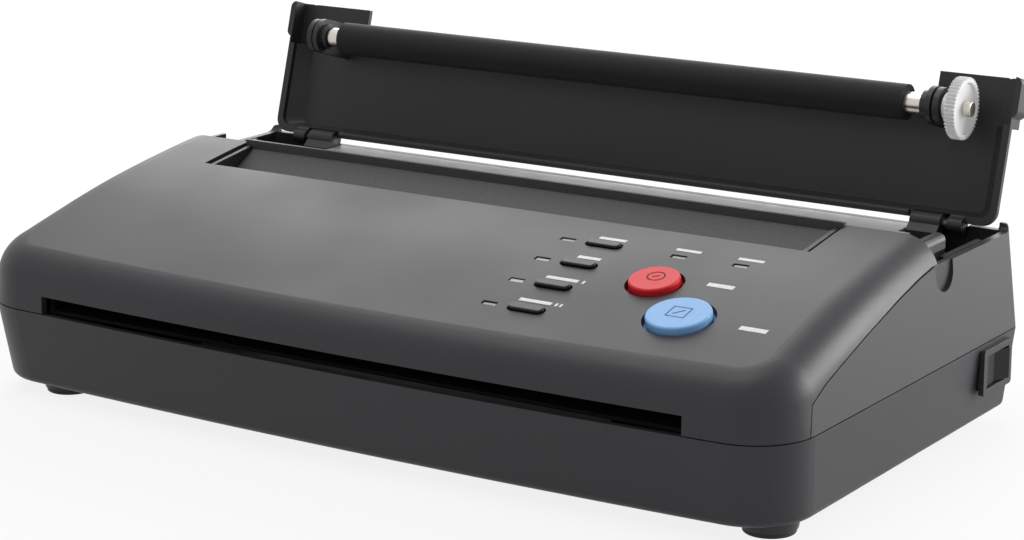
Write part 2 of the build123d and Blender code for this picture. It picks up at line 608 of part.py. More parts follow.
with BuildPart() as lid_shell:
    extrude(lid_outline(SKIRT_W, LID_X, LID_EDGE, LID_CORNER), amount=-SKIRT_W)
    loft(sections=[lid_outline(LID_BACK, LID_X - LID_CHAMFER,
                               LID_EDGE + REAR_SLOPE * LID_CHAMFER, LID_CORNER - 2),
                   lid_outline(SKIRT_W, LID_X, LID_EDGE, LID_CORNER)], ruled=True)
    rise = SKIRT_W - LID_INNER
    for side in (-1, 1):
        xs = mirrored(side, (LID_X - 6, EAR_LIP_X))
        with BuildSketch(LID_PLANE.offset(LID_INNER - 0.8)) as tab:
            with Locations((sum(xs) / 2, (EAR_LIP_U + LID_EAR) / 2)):
                RectangleRounded(xs[1] - xs[0], LID_EAR - EAR_LIP_U, EAR_ROUND)
        extrude(tab.sketch, amount=0.8 - LID_INNER)
        block_on(LID_PLANE, mirrored(side, (LID_X - 6, LID_X)), (EAR_LIP_U - 3.2, EAR_LIP_U + 2),
                 (LID_INNER - 0.8, SKIRT_W))
    extrude(lid_outline(SKIRT_W, LID_X - RIM, LID_EDGE + RIM, LID_CORNER - 1.5),
            amount=2 - SKIRT_W, mode=Mode.SUBTRACT)
    loft(sections=[lid_outline(LID_INNER, LID_X - RIM - rise,
                               LID_EDGE + RIM + REAR_SLOPE * rise, LID_CORNER - 3),
                   lid_outline(SKIRT_W, LID_X - RIM, LID_EDGE + RIM, LID_CORNER - 1.5)],
         ruled=True, mode=Mode.SUBTRACT)
    block_on(LID_PLANE, (-EAR_X, EAR_X), (LID_MID, LID_EAR + 5), (-12, 5), Mode.SUBTRACT)
    for side in (-1, 1):
        block_on(LID_PLANE, mirrored(side, (LID_X - 9, LID_X - 0.6)),
                 (HINGE_Y - TONGUE_END - 0.4, LID_EAR + 5), (LID_INNER + 0.1, 2), Mode.SUBTRACT)
        disc_on(LID_SECTION, HINGE_R + BARREL_GAP, 0, 0,
                mirrored(side, (BARREL_X[0] - BARREL_GAP, LUG_X[0])), Mode.SUBTRACT)
        prism([(0, -LUG_R), (LID_EDGE + RIM, -4.6), (LID_EDGE + RIM, 0), (0, LUG_R)],
              mirrored(side, LUG_X), plane=LID_SECTION)
        disc_on(LID_SECTION, LUG_R, 0, 0, mirrored(side, LUG_X))
        disc_on(LID_SECTION, PIN_R + RUN, 0, 0, mirrored(side, (LUG_X[0] - 1, LUG_X[1] + 0.6)),
                Mode.SUBTRACT)
        disc_on(LID_SECTION, RIB_R, PLATEN_U, PLATEN_W, mirrored(side, RIB_X))
        prism([(PLATEN_U - RIB_R, LID_INNER - 0.5), (PLATEN_U + RIB_R, LID_INNER - 0.5),
               (PLATEN_U + RIB_R, PLATEN_W), (PLATEN_U - RIB_R, PLATEN_W)],
              mirrored(side, RIB_X), plane=LID_SECTION)
        disc_on(LID_SECTION, BUSH_R, PLATEN_U, PLATEN_W, mirrored(side, (112, 126)), Mode.SUBTRACT)
    disc_on(LID_SECTION, RIM / 2, LID_EDGE + RIM / 2, 0, (1.6 - BARREL_X[0], BARREL_X[0] - 1.6))
built["lid_shell"] = lid_shell

with BuildPart() as platen_bushes:
    for side in (-1, 1):
        disc_on(LID_SECTION, BUSH_R, PLATEN_U, PLATEN_W, mirrored(side, BUSH_X))
        disc_on(LID_SECTION, BUSH_FLANGE_R, PLATEN_U, PLATEN_W,
                mirrored(side, (BUSH_X[1], BUSH_X[1] + 2)))
    disc_on(LID_SECTION, SHAFT_R + RUN, PLATEN_U, PLATEN_W, (-130, 130), Mode.SUBTRACT)
built["platen_bushes"] = platen_bushes

GEAR_END = GEAR_X + GEAR_W
COLLAR_R = 3.5
TAIL_R = 2.5
TAIL_END = 133.4


def shaft_tail(xs, mode=Mode.ADD):
    """The platen shaft's end with two flats."""
    with BuildSketch(LID_SECTION.offset(xs[0])) as area:
        with Locations((PLATEN_U, PLATEN_W)):
            Circle(TAIL_R)
            Rectangle(2 * TAIL_R, 4.2, mode=Mode.INTERSECT)
    extrude(area.sketch, amount=xs[1] - xs[0], mode=mode)


with BuildPart() as platen_shaft:
    disc_on(LID_SECTION, SHAFT_R, PLATEN_U, PLATEN_W, (-125.5, GEAR_X))
    for side in (-1, 1):
        disc_on(LID_SECTION, COLLAR_R, PLATEN_U, PLATEN_W,
                mirrored(side, (PLATEN_X, BUSH_X[0] - 0.4)))
    shaft_tail((GEAR_X, TAIL_END - 1.2))
    disc_on(LID_SECTION, TAIL_R - 0.1, PLATEN_U, PLATEN_W, (TAIL_END - 1.2, TAIL_END))
    fillet(platen_shaft.edges().group_by(Axis.X)[-1], 0.4)
built["platen_shaft"] = platen_shaft

with BuildPart() as platen_rubber:
    disc_on(LID_SECTION, PLATEN_R, PLATEN_U, PLATEN_W, (-PLATEN_X, PLATEN_X))
    disc_on(LID_SECTION, SHAFT_R, PLATEN_U, PLATEN_W, (-PLATEN_X, PLATEN_X), Mode.SUBTRACT)
built["platen_rubber"] = platen_rubber

REST_TURN = math.degrees(LID_A)  # the lid section's x axis stands at this angle
with BuildPart() as platen_gear:
    teeth = tooth_points(MODULE, PLATEN_TEETH, PLATEN_PHASE - REST_TURN)
    prism([(PLATEN_U + a, PLATEN_W + b) for a, b in teeth], (GEAR_X, GEAR_END),
          plane=LID_SECTION)
    disc_on(LID_SECTION, 4.5, PLATEN_U, PLATEN_W, (GEAR_X - 3.3, GEAR_X))
    disc_on(LID_SECTION, SHAFT_R, PLATEN_U, PLATEN_W, (GEAR_X - 5, GEAR_X), Mode.SUBTRACT)
    disc_on(LID_SECTION, MODULE * (PLATEN_TEETH / 2 - 1.25) - GEAR_RIM, PLATEN_U, PLATEN_W,
            (GEAR_X + GEAR_WEB, GEAR_END + 1), Mode.SUBTRACT)
    shaft_tail((GEAR_X - 1, GEAR_END + 1), Mode.SUBTRACT)
built["platen_gear"] = platen_gear

# ---- print station ----
FRAME_X = (117.2, 118.7)
NOTCH_R = BUSH_R + 0.5
PIVOT_AT = (101.5, 11.0)
NIP = 0.4  # between the platen and the heater strip, before the springs push the head up
STRIP_TOP = SHUT_PLATEN[1] - PLATEN_R - NIP
STRIP_Z = (STRIP_TOP - 1.0, STRIP_TOP)


def platen_notch(xs):
    rod(NOTCH_R, xs, *SHUT_PLATEN, Mode.SUBTRACT)
    y, z = SHUT_PLATEN
    prism([(y - NOTCH_R, z), (y - NOTCH_R - 3, z + 12), (y + NOTCH_R + 1.5, z + 12),
           (y + NOTCH_R, z)], xs, Mode.SUBTRACT)


with BuildPart() as print_frame:
    block((-FRAME_X[1], FRAME_X[1]), (97, 141), (4, 5.2))
    for side in (-1, 1):
        under = DECK_Z - DECK_T
        prism([(97, 5.2), (141, 5.2), (141, under), (DECK_Y[0], under), (122.8, 27), (107, 27),
               (97, 20)], mirrored(side, FRAME_X))
        platen_notch(mirrored(side, (116, 120)))
        rod(1.5, mirrored(side, (116, 120)), *PIVOT_AT, Mode.SUBTRACT)
built["print_frame"] = print_frame

with BuildPart() as print_deck:
    block((-FRAME_X[1], FRAME_X[1]), (DECK_Y[0], 143), (DECK_Z - DECK_T, DECK_Z))
    block((-DECK_X, DECK_X), (142, DECK_Y[1]), (DECK_Z - DECK_T, DECK_Z))
built["print_deck"] = print_deck

with BuildPart() as head_pivot:
    rod(1.5, (-FRAME_X[1], FRAME_X[1]), *PIVOT_AT)
built["head_pivot"] = head_pivot

HEAD_X = 110.0
with BuildPart() as heat_sink:
    prism([(98.4, 8), (105, 8), (105, 9), (128, 9), (128, 13), (122, 13), (122, STRIP_Z[0]),
           (111, STRIP_Z[0]), (111, 13), (105, 14), (98.4, 14)], (-HEAD_X, HEAD_X))
    rod(1.5 + RUN, (-120, 120), *PIVOT_AT, Mode.SUBTRACT)
built["heat_sink"] = heat_sink

with BuildPart() as heater_strip:
    block((-HEAD_X, HEAD_X), (SHUT_PLATEN[0] - 4.8, SHUT_PLATEN[0] + 4.8), STRIP_Z)
built["heater_strip"] = heater_strip

with BuildPart() as head_springs:
    for x in (-90, -30, 30, 90):
        with BuildLine(Plane((x, 120, 5.6))) as coil:
            Helix(pitch=1.0, height=3.0, radius=2.4)
        with BuildSketch(Plane(coil.line @ 0, z_dir=coil.line % 0)) as wire:
            Circle(0.35)
        sweep(wire.sketch, path=coil.line, is_frenet=True)
built["head_springs"] = head_springs

PLATE_X = (124.8, 126.0)
with BuildPart() as gear_plate:
    prism([(103, -17), (144, -17), (144, 27), (103, 27)], PLATE_X)
    for y, z in ((138.5, 9.0), (107.5, 9.0)):
        rod(3.0, (FRAME_X[1], PLATE_X[0]), y, z)
    platen_notch((124, 127))
    rod(4.0, (124, 127), *MOTOR_AT, Mode.SUBTRACT)
    for y, z in (DRIVE_AT, COMPOUND_AT):
        rod(STUD_R, (124, 127), y, z, Mode.SUBTRACT)
built["gear_plate"] = gear_plate

SCAN_PLATE_X = (-122.5, -121.0)
with BuildPart() as gear_studs:
    rod(STUD_R, (PLATE_X[0], GEAR_END + 0.3), *DRIVE_AT)
    rod(STUD_R, (PLATE_X[0], LARGE_X[1] + 1.0), *COMPOUND_AT)
    rod(STUD_R, (SCAN_GEAR_X[0] - 0.8, SCAN_PLATE_X[1]), *IDLER_AT)
built["gear_studs"] = gear_studs

with BuildPart() as drive_gear:
    gear(MODULE, DRIVE_TEETH, DRIVE_PHASE, (GEAR_X, GEAR_END), *DRIVE_AT)
    rod(4.0, (PLATE_X[1] + 0.4, GEAR_X), *DRIVE_AT)
    rod(STUD_R + RUN, (PLATE_X[1], GEAR_END + 1), *DRIVE_AT, Mode.SUBTRACT)
built["drive_gear"] = drive_gear

with BuildPart() as compound_gear:
    gear(MODULE, COMPOUND_SMALL, COMPOUND_PHASE, (PLATE_X[1] + 0.4, LARGE_X[0]), *COMPOUND_AT)
    gear(MODULE, COMPOUND_LARGE, COMPOUND_PHASE, LARGE_X, *COMPOUND_AT)
    rod(STUD_R + RUN, (PLATE_X[1], LARGE_X[1] + 1), *COMPOUND_AT, Mode.SUBTRACT)
built["compound_gear"] = compound_gear

MOTOR_R = 10.0
MOTOR_SHAFT = 1.0
with BuildPart() as print_motor:
    rod(MOTOR_R, (PLATE_X[0] - 20, PLATE_X[0]), *MOTOR_AT)
    rod(4.0, PLATE_X, *MOTOR_AT)
    rod(MOTOR_SHAFT + RUN, (PLATE_X[0] - 19, PLATE_X[1] + 1), *MOTOR_AT, Mode.SUBTRACT)
built["print_motor"] = print_motor

with BuildPart() as print_pinion:
    gear(MODULE, MOTOR_TEETH, MOTOR_PHASE, LARGE_X, *MOTOR_AT)
    rod(MOTOR_SHAFT, (PLATE_X[0] - 18.5, LARGE_X[1] + 0.5), *MOTOR_AT)
built["print_pinion"] = print_pinion

# ---- document scanner ----
SCAN_RIGHT_X = (119.5, 121.0)
with BuildPart() as scan_plates:
    prism([(37, -12), (81, -12), (81, 11), (57, 20.5), (37, 20.5)], SCAN_PLATE_X)
    prism([(37, -12), (56, -12), (56, 20.5), (37, 20.5)], SCAN_RIGHT_X)
    rod(3.5, (-130, 130), *FEED_AT, Mode.SUBTRACT)
    rod(4.0, (-130, -115), *SCAN_AT, Mode.SUBTRACT)
    rod(STUD_R, (-130, -115), *IDLER_AT, Mode.SUBTRACT)
built["scan_plates"] = scan_plates

with BuildPart() as feed_bushes:
    rod(3.5, (SCAN_PLATE_X[0] - 0.4, SCAN_PLATE_X[1] + 1), *FEED_AT)
    rod(3.5, (SCAN_RIGHT_X[0] - 1, SCAN_RIGHT_X[1] + 0.4), *FEED_AT)
    rod(2.0 + RUN, (-130, 130), *FEED_AT, Mode.SUBTRACT)
built["feed_bushes"] = feed_bushes

with BuildPart() as feed_shaft:
    rod(2.0, (SCAN_GEAR_X[0] - 0.4, 123), *FEED_AT)
built["feed_shaft"] = feed_shaft

with BuildPart() as feed_rubber:
    for x in (-81, -27, 27, 81):
        rod(FEED_R, (x - 22, x + 22), *FEED_AT)
    rod(2.0, (-130, 130), *FEED_AT, Mode.SUBTRACT)
built["feed_rubber"] = feed_rubber

with BuildPart() as feed_gear:
    gear(MODULE, FEED_TEETH, 0, SCAN_GEAR_X, *FEED_AT)
    rod(2.0, (-130, -120), *FEED_AT, Mode.SUBTRACT)
built["feed_gear"] = feed_gear

with BuildPart() as idler_gear:
    gear(MODULE, IDLER_TEETH, IDLER_PHASE, SCAN_GEAR_X, *IDLER_AT)
    rod(3.2, (SCAN_GEAR_X[1], SCAN_PLATE_X[0] - 0.4), *IDLER_AT)
    rod(STUD_R + RUN, (-130, -120), *IDLER_AT, Mode.SUBTRACT)
built["idler_gear"] = idler_gear

with BuildPart() as scan_motor:
    rod(MOTOR_R, (SCAN_PLATE_X[1], SCAN_PLATE_X[1] + 20), *SCAN_AT)
    rod(4.0, SCAN_PLATE_X, *SCAN_AT)
    rod(MOTOR_SHAFT + RUN, (-123, SCAN_PLATE_X[1] + 19), *SCAN_AT, Mode.SUBTRACT)
built["scan_motor"] = scan_motor

with BuildPart() as scan_pinion:
    gear(MODULE, MOTOR_TEETH, SCAN_PHASE, SCAN_GEAR_X, *SCAN_AT)
    rod(MOTOR_SHAFT, (SCAN_GEAR_X[0] - 0.4, SCAN_PLATE_X[1] + 18.5), *SCAN_AT)
built["scan_pinion"] = scan_pinion

with BuildPart() as image_sensor:
    block((-117, 117), (38, 56), (-7, SENSOR_TOP))
    block((-110, 110), (40, 54), (SENSOR_TOP - 1.5, SENSOR_TOP + 1), Mode.SUBTRACT)
built["image_sensor"] = image_sensor

with BuildPart() as sensor_glass:
    block((-110, 110), (40, 54), (SENSOR_TOP - 1.5, SENSOR_TOP))
built["sensor_glass"] = sensor_glass

with BuildPart() as paper_guides:
    prism([(37.5, 7.6), (37.5, 6.2), (1.6, 0), (1.6, 1.2)], (-118.2, 118.2))
    prism([(37.5, 12), (37.5, 10.8), (3.2, 6.4), (3.2, 7.6)], (-118.2, 118.2))
    for side in (-1, 1):
        prism([(37.5, 12), (37.5, 6.2), (1.6, 0), (3.2, 7.6)], mirrored(side, (117, 118.2)))
built["paper_guides"] = paper_guides

# ---- boards and mains side ----
MAIN_X = (-90, 48)
MAIN_Y = (84, 136)
POWER_X = (54, 100)
POWER_Y = (62, 112)
BOARD_Z = (-18.0, -16.4)

with BuildPart() as main_board:
    block(MAIN_X, MAIN_Y, BOARD_Z)
built["main_board"] = main_board

with BuildPart() as board_chips:
    for x, y, w, d, h in ((-20, 108, 22, 22, 2.2), (-60, 100, 14, 9, 1.8), (-60, 120, 12, 12, 2),
                          (16, 98, 10, 8, 1.6), (18, 122, 16, 6, 4.5)):
        block((x - w / 2, x + w / 2), (y - d / 2, y + d / 2), (BOARD_Z[1], BOARD_Z[1] + h))
built["board_chips"] = board_chips

with BuildPart() as board_connectors:
    for x, w in ((-78, 10), (-56, 18), (-26, 24), (8, 14), (34, 10)):
        block((x - w / 2, x + w / 2), (MAIN_Y[0] + 2, MAIN_Y[0] + 7), (BOARD_Z[1], BOARD_Z[1] + 6))
built["board_connectors"] = board_connectors

with BuildPart() as power_board:
    block(POWER_X, POWER_Y, BOARD_Z)
built["power_board"] = power_board

with BuildPart() as power_parts:
    block((60, 82), (72, 92), (BOARD_Z[1], BOARD_Z[1] + 17))
    for x, y, r, h in ((92, 70, 6, 14), (92, 86, 5, 13), (66, 104, 4, 12), (80, 104, 4, 12)):
        disc_on(Plane.XY, r, x, y, (BOARD_Z[1], BOARD_Z[1] + h))
built["power_parts"] = power_parts

with BuildPart() as power_inlet:
    block((INLET_X[0] + 0.4, INLET_X[1] - 0.4), (BODY_D - INLET_DEPTH - 5, BODY_D),
          (INLET_Z[0] + 0.4, INLET_Z[1] - 0.4))
    block((INLET_X[0] - 3, INLET_X[1] + 3), (BODY_D, BODY_D + 1.5),
          (INLET_Z[0] - 1.5, INLET_Z[1] + 1))
    block((INLET_X[0] + 3, INLET_X[1] - 3), (BODY_D - INLET_DEPTH, BODY_D + 3),
          (INLET_Z[0] + 3, INLET_Z[1] - 3), Mode.SUBTRACT)
built["power_inlet"] = power_inlet

with BuildPart() as inlet_pins:
    for x in (65, 72, 79):
        block((x - 1, x + 1), (BODY_D - INLET_DEPTH, BODY_D - 2.5), (-12, -8))
built["inlet_pins"] = inlet_pins

# ---- rocker switch ----
ROCKER_AT = (147.5, 140.1)
ROCKER_TILT = -6.0
POCKET_Y = (ROCKER_AT[1] - 8.1, ROCKER_AT[1] + 8.1)
with BuildPart() as rocker_bezel:
    block((149.9, 151.6), ROCKER_Y, ROCKER_Z)
    block((136.5, 149.9), (ROCKER_Y[0] + 1.5, ROCKER_Y[1] - 1.5),
          (ROCKER_Z[0] + 1.5, ROCKER_Z[1] - 1.5))
    fillet(rocker_bezel.edges().filter_by(Axis.X).group_by(Axis.X)[-1], 1.2)
    block((143.4, 155), POCKET_Y, (-14.1, -3.5), Mode.SUBTRACT)
    disc_on(Plane.XY, 1.0 + RUN, *ROCKER_AT, (-15.2, -2.4), Mode.SUBTRACT)
built["rocker_bezel"] = rocker_bezel

with BuildPart() as power_rocker:
    tilt = math.radians(ROCKER_TILT)
    side = [(4.3, -7.1), (2.9, 0), (4.3, 7.1), (1.2, 7.3), (-2.0, 5.4), (-2.0, -5.4), (1.2, -7.3)]
    turned = [(ROCKER_AT[0] + x * math.cos(tilt) - y * math.sin(tilt),
               ROCKER_AT[1] + x * math.sin(tilt) + y * math.cos(tilt)) for x, y in side]
    prism(turned, (-13.7, -3.9), plane=Plane.XY)
    disc_on(Plane.XY, 1.0, *ROCKER_AT, (-14.9, -2.7))
built["power_rocker"] = power_rocker

for name, piece in built.items():
    piece.part.label = name
    export_step(Pos(0, -Y_MIDDLE, -FOOT_Z) * piece.part, f"parts/{name}.step")
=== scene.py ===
"""Studio scene of a thermal stencil copier: finishes, printed marks and trim on the frame."""

import json
import math

import bmesh
import bpy
from mathutils import Matrix, Vector


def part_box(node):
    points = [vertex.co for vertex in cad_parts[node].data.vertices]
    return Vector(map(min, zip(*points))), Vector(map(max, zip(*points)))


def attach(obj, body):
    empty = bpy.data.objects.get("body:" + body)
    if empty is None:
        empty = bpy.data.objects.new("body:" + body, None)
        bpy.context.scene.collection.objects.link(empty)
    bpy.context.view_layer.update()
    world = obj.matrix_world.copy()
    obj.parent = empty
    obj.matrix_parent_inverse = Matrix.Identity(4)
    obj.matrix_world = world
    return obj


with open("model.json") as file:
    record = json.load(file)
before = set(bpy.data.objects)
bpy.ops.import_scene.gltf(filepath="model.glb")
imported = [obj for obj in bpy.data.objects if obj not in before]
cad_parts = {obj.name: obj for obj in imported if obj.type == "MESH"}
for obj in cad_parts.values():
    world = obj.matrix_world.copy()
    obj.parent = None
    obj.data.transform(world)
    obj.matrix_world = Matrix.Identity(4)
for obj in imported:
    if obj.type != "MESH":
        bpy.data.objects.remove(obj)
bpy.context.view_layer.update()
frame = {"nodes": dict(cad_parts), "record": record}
MM = 0.001
nodes = frame["nodes"]


# ---- finishes ----
class Number:
    """A value worked out in a finish; sums on it add Math nodes."""

    def __init__(self, finish, socket):
        self.finish, self.socket = finish, socket

    def work_out(self, operation, *values):
        return self.finish.node("Math", {"operation": operation}, dict(enumerate(values)))

    def __add__(self, other):
        return self.work_out("ADD", self, other)

    def __mul__(self, other):
        return self.work_out("MULTIPLY", self, other)

    def __rsub__(self, other):
        return self.work_out("SUBTRACT", other, self)

    def __gt__(self, level):
        return self.work_out("GREATER_THAN", self, level)

    __radd__ = __add__
    __rmul__ = __mul__


class Finish:
    """One material: its Principled shader's fixed values, and what changes over the surface."""

    def __init__(self, name, **fixed):
        self.material = bpy.data.materials.new(name)
        self.material.use_nodes = True
        self.tree = self.material.node_tree
        self.shader = self.tree.nodes["Principled BSDF"]
        for socket, value in fixed.items():
            self.shader.inputs[socket.replace("_", " ")].default_value = value
        self.where = self.node("TexCoord", output="Object")

    def feed(self, socket, value):
        if isinstance(value, Number):
            self.tree.links.new(value.socket, socket)
        elif socket.type == "RGBA" and len(value) == 3:
            socket.default_value = (*value, 1)
        else:
            socket.default_value = value

    def node(self, kind, settings=None, values=None, output=0):
        made = self.tree.nodes.new("ShaderNode" + kind)
        for name, value in (settings or {}).items():
            setattr(made, name, value)
        for socket, value in (values or {}).items():
            self.feed(made.inputs[socket], value)
        return Number(self, made.outputs[output])

    def stretched(self, x, y, z):
        return self.node("VectorMath", {"operation": "MULTIPLY"}, {0: self.where, 1: (x, y, z)})

    def noise(self, size, detail=2.0, where=None):
        """Cloudy noise with lumps of that size in millimetres."""
        values = {"Vector": where or self.where, "Scale": 1 / (size * MM), "Detail": detail}
        return self.node("TexNoise", {}, values)

    def mixed(self, share, first, second):
        """A colour between two, by a share from 0 to 1."""
        return self.node("Mix", {"data_type": "RGBA"}, {0: share, 6: first, 7: second}, 2)

    def spread(self, value, low, high, least=0.0, most=1.0):
        """The value's range from low to high, laid out from least to most."""
        return self.node("MapRange", {}, {0: value, 1: low, 2: high, 3: least, 4: most})

    def edges(self, radius):
        """The normal rounded over sharp edges, and how near an edge the surface is."""
        rounded = self.node("Bevel", {"samples": 4}, {"Radius": radius * MM})
        flat = self.node("NewGeometry", output="Normal")
        along = self.node("VectorMath", {"operation": "DOT_PRODUCT"}, {0: rounded, 1: flat},
                          "Value")
        return rounded, self.spread(1 - along, 0.02, 0.2)

    def set(self, colour=None, roughness=None, height=None, depth=0.02, rounded=None):
        """Joins what changes to the shader; depth is the relief's, in millimetres."""
        if colour is not None:
            self.feed(self.shader.inputs["Base Color"], colour)
        if roughness is not None:
            self.feed(self.shader.inputs["Roughness"], roughness)
        if height is not None:
            values = {"Strength": 1.0, "Distance": depth * MM, "Height": height}
            if rounded is not None:
                values["Normal"] = rounded
            rounded = self.node("Bump", {}, values)
        if rounded is not None:
            self.feed(self.shader.inputs["Normal"], rounded)
        return self.material


def times(colour, share):
    """A colour made lighter or darker, with no channel over 1."""
    return tuple(min(1.0, c * share) for c in colour)


def moulded_plastic(name, colour, roughness, grain, depth, wear=1.6, edge=0.35, **fixed):
    """Moulded plastic with a spark-eroded grain, light handling smudges and rubbed edges.

    Grain, depth and edge are in millimetres: the grain's size and relief, and the radius that
    sharp edges seem to have. Wear is how much lighter a rubbed edge is.
    """
    finish = Finish(name, **fixed)
    rounded, near_edge = finish.edges(edge)
    grains = finish.noise(grain, 3.0)
    smudge = finish.spread(finish.noise(45, 3.0), 0.35, 0.7)
    body = finish.mixed(smudge, times(colour, 0.94), times(colour, 1.08))
    body = finish.mixed(finish.spread(grains, 0.3, 0.75) * 0.35, body, times(colour, 1.3))
    scuffed = near_edge * finish.spread(finish.noise(2.5, 4.0), 0.42, 0.66)
    body = finish.mixed(scuffed * 0.5, body, times(colour, wear))
    rough = roughness + 0.07 * smudge + 0.08 * grains
    return finish.set(body, rough, grains, depth, rounded)


def speckled_plastic(name, colour, roughness):
    """The document tray's coarse leather grain with pale speckles."""
    finish = Finish(name, Specular_IOR_Level=0.4)
    cells = finish.node("TexVoronoi", {"feature": "SMOOTH_F1"},
                        {"Vector": finish.where, "Scale": 1 / (0.9 * MM), "Smoothness": 0.6})
    fine = finish.noise(0.45, 3.0)
    speck = finish.spread(fine, 0.56, 0.7)
    body = finish.mixed(finish.spread(cells, 0.1, 0.7), times(colour, 0.86), times(colour, 1.1))
    body = finish.mixed(speck * 0.6, body, times(colour, 1.9))
    return finish.set(body, roughness + 0.1 * fine, cells + 0.6 * fine, 0.06)


def ground_rubber(name, colour, roughness):
    """Roller rubber, ground in fine rings round its axis."""
    finish = Finish(name, Specular_IOR_Level=0.2)
    rings = finish.noise(0.5, 2.0, finish.stretched(1, 0.05, 0.05))
    dust = finish.noise(6, 4.0)
    body = finish.mixed(finish.spread(dust, 0.45, 0.75), colour, times(colour, 1.35))
    return finish.set(body, roughness + 0.12 * dust, rings, 0.02)


def turned_metal(name, colour, roughness, lines, depth=0.004, **fixed):
    """Metal with fine tool lines; a small share in lines draws them out along that axis."""
    finish = Finish(name, Metallic=1.0, **fixed)
    rounded, near_edge = finish.edges(0.15)
    scratches = finish.noise(0.25, 3.0, finish.stretched(*lines))
    stain = finish.noise(9, 3.0)
    body = finish.mixed(finish.spread(stain, 0.4, 0.7), colour, times(colour, 0.86))
    body = finish.mixed(near_edge * 0.4, body, times(colour, 1.15))
    return finish.set(body, roughness + 0.14 * scratches + 0.06 * stain, scratches, depth, rounded)


def zinc_sheet(name):
    """Zinc-plated sheet: pale spangle patches under a dull shine."""
    finish = Finish(name, Metallic=1.0)
    rounded, near_edge = finish.edges(0.2)
    patches = finish.node("TexVoronoi", {}, {"Vector": finish.where, "Scale": 1 / (4 * MM)})
    rolled = finish.noise(0.4, 3.0, finish.stretched(0.1, 1, 1))
    body = finish.mixed(finish.spread(patches, 0.0, 0.8), (0.60, 0.61, 0.62), (0.42, 0.44, 0.46))
    body = finish.mixed(near_edge * 0.5, body, (0.75, 0.76, 0.77))
    return finish.set(body, 0.32 + 0.12 * patches + 0.08 * rolled, rolled, 0.004, rounded)


def green_board():
    """Solder mask with copper tracks under it and bare pads."""
    finish = Finish("green_board", Specular_IOR_Level=0.5)
    tracks = finish.node("TexBrick", {"offset": 0.5, "squash": 1.0},
                         {"Vector": finish.where, "Color1": (1, 1, 1), "Color2": (1, 1, 1),
                          "Mortar": (0, 0, 0), "Scale": 1 / (9 * MM), "Mortar Size": 0.06,
                          "Brick Width": 0.8, "Row Height": 0.18}, "Fac")
    pads = finish.node("TexVoronoi", {}, {"Vector": finish.where, "Scale": 1 / (3.2 * MM)})
    weave = finish.noise(0.3, 1.0)
    mask = finish.mixed(tracks, (0.015, 0.085, 0.03), (0.03, 0.16, 0.06))
    body = finish.mixed(pads > 0.13, (0.62, 0.63, 0.6), mask)
    return finish.set(body, 0.3 + 0.1 * weave, tracks + 0.2 * weave, 0.03)


def glazed_ceramic():
    """Off-white substrate under a clear glaze."""
    finish = Finish("glazed_ceramic", Coat_Weight=0.5, Coat_Roughness=0.1)
    grain = finish.noise(1.2, 3.0)
    body = finish.mixed(grain, (0.72, 0.70, 0.63), (0.82, 0.80, 0.74))
    return finish.set(body, 0.3 + 0.12 * grain, grain, 0.004)


def clear_glass():
    """Window glass with a faint haze."""
    finish = Finish("clear_glass", Transmission_Weight=0.9, IOR=1.5)
    haze = finish.noise(20, 2.0)
    return finish.set((0.86, 0.9, 0.9), 0.04 + 0.05 * haze)


def lamp_lens():
    """Frosted light guide, paler in cloudy patches."""
    finish = Finish("lamp_lens", Subsurface_Weight=0.3, Subsurface_Scale=0.002)
    frost = finish.noise(0.5, 3.0)
    body = finish.mixed(finish.spread(frost, 0.35, 0.7), (0.42, 0.43, 0.45), (0.58, 0.59, 0.61))
    return finish.set(body, 0.35 + 0.15 * frost, frost, 0.01)


def printed_ink(name, colour, **fixed):
    """Pad-printed ink with slightly uneven cover."""
    finish = Finish(name, **fixed)
    cover = finish.noise(0.35, 3.0)
    body = finish.mixed(finish.spread(cover, 0.3, 0.6), times(colour, 0.82), colour)
    return finish.set(body, 0.5 + 0.1 * cover, cover, 0.004)


